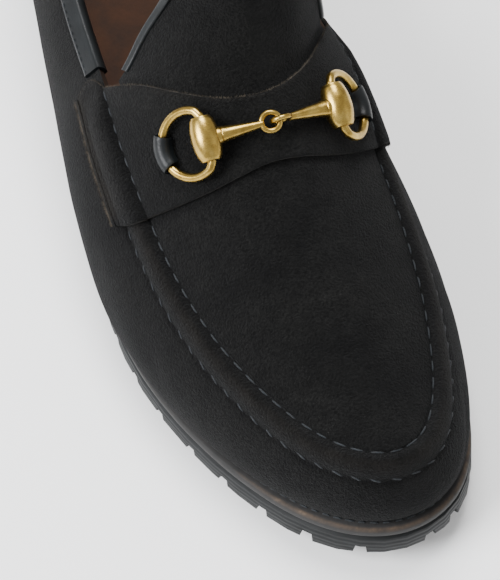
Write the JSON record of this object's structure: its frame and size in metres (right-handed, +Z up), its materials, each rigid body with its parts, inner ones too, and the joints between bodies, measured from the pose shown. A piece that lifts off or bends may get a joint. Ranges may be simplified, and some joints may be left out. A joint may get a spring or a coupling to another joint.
{
  "type": "bit loafer",
  "caption": "Low suede slip-on shoe with a raised apron seam, a strap over the instep that carries a metal snaffle bit, and a lugged rubber sole.",
  "frame": {"origin": "on the floor under the centre of the shoe's box", "axes": "+Y toward the toe, +X toward the wearer's right, the outer side of this right shoe, +Z up"},
  "size_m": [0.1042, 0.2976, 0.1188],
  "materials": {
    "charcoal_suede": "matt brushed nap",
    "black_smooth_leather": "satin",
    "brown_edged_midsole": "matt, worn",
    "black_lug_rubber": "satin",
    "tan_leather_insole": "satin, bare",
    "antique_brass": "brushed, darkened in the corners"
  },
  "bodies": {
    "root": {"bit_half_inner": "antique_brass", "bit_half_outer": "antique_brass", "collar_binding": "black_smooth_leather", "heel": "black_lug_rubber", "insole": "tan_leather_insole", "keeper_inner": "black_smooth_leather", "keeper_outer": "black_smooth_leather", "midsole": "brown_edged_midsole", "outsole": "black_lug_rubber", "ring_inner": "antique_brass", "ring_outer": "antique_brass", "saddle": "charcoal_suede", "tongue": "charcoal_suede", "tongue_binding": "black_smooth_leather", "upper": "charcoal_suede"}
  },
  "joints": []
}
